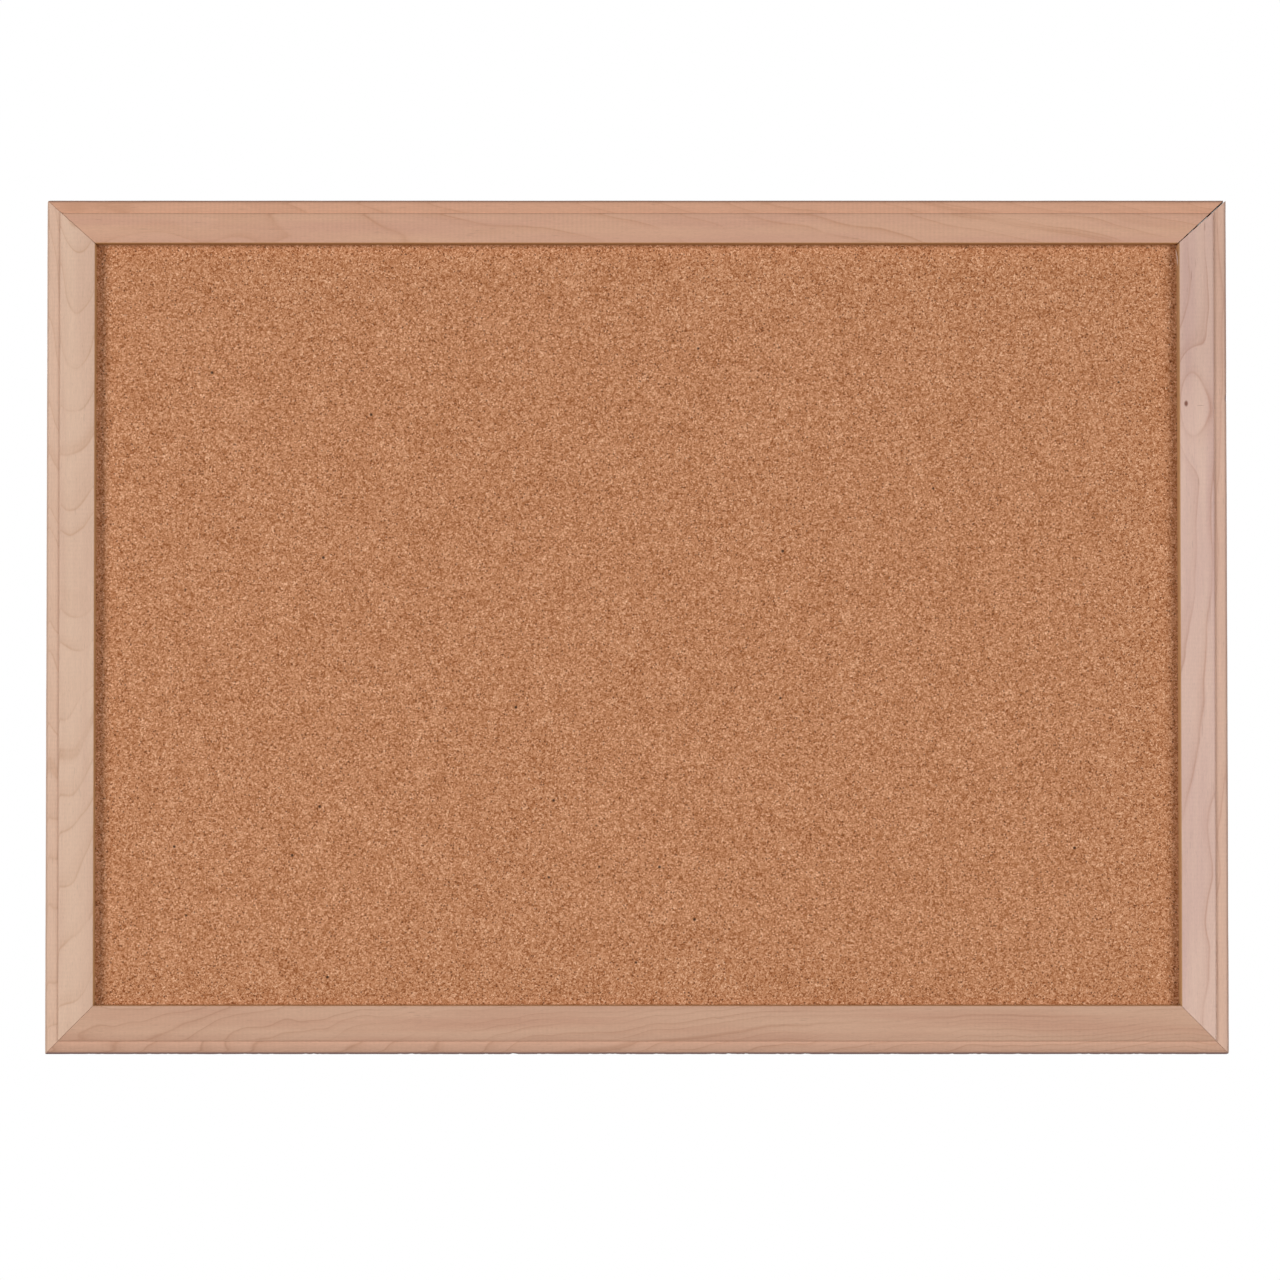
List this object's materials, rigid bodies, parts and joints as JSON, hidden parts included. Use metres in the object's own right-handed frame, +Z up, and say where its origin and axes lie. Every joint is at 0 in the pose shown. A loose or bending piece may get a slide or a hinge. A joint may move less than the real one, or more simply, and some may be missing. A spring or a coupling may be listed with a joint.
{
  "type": "cork bulletin board",
  "caption": "Wood-framed cork bulletin board with mitred moulded rails, a recessed pinning surface and swinging D-ring hangers on its back.",
  "frame": {"origin": "on the wall's surface, behind the middle of the board", "axes": "+X along the long side, to the right as seen from the front; +Y from the cork towards the wall; +Z up"},
  "size_m": [0.6, 0.021, 0.434],
  "materials": {
    "left_stile_wood": "matte",
    "right_stile_wood": "matte",
    "top_rail_wood": "matte",
    "bottom_rail_wood": "matte",
    "cork": "matte",
    "softboard": "matte",
    "hardboard": "matte",
    "blued_steel": "satin",
    "zinc_steel": "satin",
    "rubber": "matte"
  },
  "bodies": {
    "board": {"top_rail": "top_rail_wood", "bottom_rail": "bottom_rail_wood", "left_stile": "left_stile_wood", "right_stile": "right_stile_wood", "cork_sheet": "cork", "softboard_core": "softboard", "backing_board": "hardboard", "v_nail_top_left_outer": "blued_steel", "v_nail_top_left_inner": "blued_steel", "v_nail_top_right_outer": "blued_steel", "v_nail_top_right_inner": "blued_steel", "v_nail_bottom_left_outer": "blued_steel", "v_nail_bottom_left_inner": "blued_steel", "v_nail_bottom_right_outer": "blued_steel", "v_nail_bottom_right_inner": "blued_steel", "panel_point_top_1": "blued_steel", "panel_point_top_2": "blued_steel", "panel_point_top_3": "blued_steel", "panel_point_top_4": "blued_steel", "panel_point_bottom_1": "blued_steel", "panel_point_bottom_2": "blued_steel", "panel_point_bottom_3": "blued_steel", "panel_point_bottom_4": "blued_steel", "panel_point_left_1": "blued_steel", "panel_point_left_2": "blued_steel", "panel_point_right_1": "blued_steel", "panel_point_right_2": "blued_steel", "hanger_strap_left": "zinc_steel", "hanger_strap_right": "zinc_steel", "hanger_screw_left": "zinc_steel", "hanger_screw_right": "zinc_steel", "bumper_top_left": "rubber", "bumper_top_right": "rubber", "bumper_bottom_left": "rubber", "bumper_bottom_right": "rubber"},
    "left_ring": {"hanger_ring_left": "zinc_steel"},
    "right_ring": {"hanger_ring_right": "zinc_steel"}
  },
  "joints": [
    {"name": "left_ring_swing", "type": "hinge", "parent": "board", "child": "left_ring", "pos_m": [-0.291, -0.0027, 0.147], "axis": [-1, 0, 0], "range_deg": [0, 178]},
    {"name": "right_ring_swing", "type": "hinge", "parent": "board", "child": "right_ring", "pos_m": [0.291, -0.0027, 0.147], "axis": [-1, 0, 0], "range_deg": [0, 178]}
  ]
}
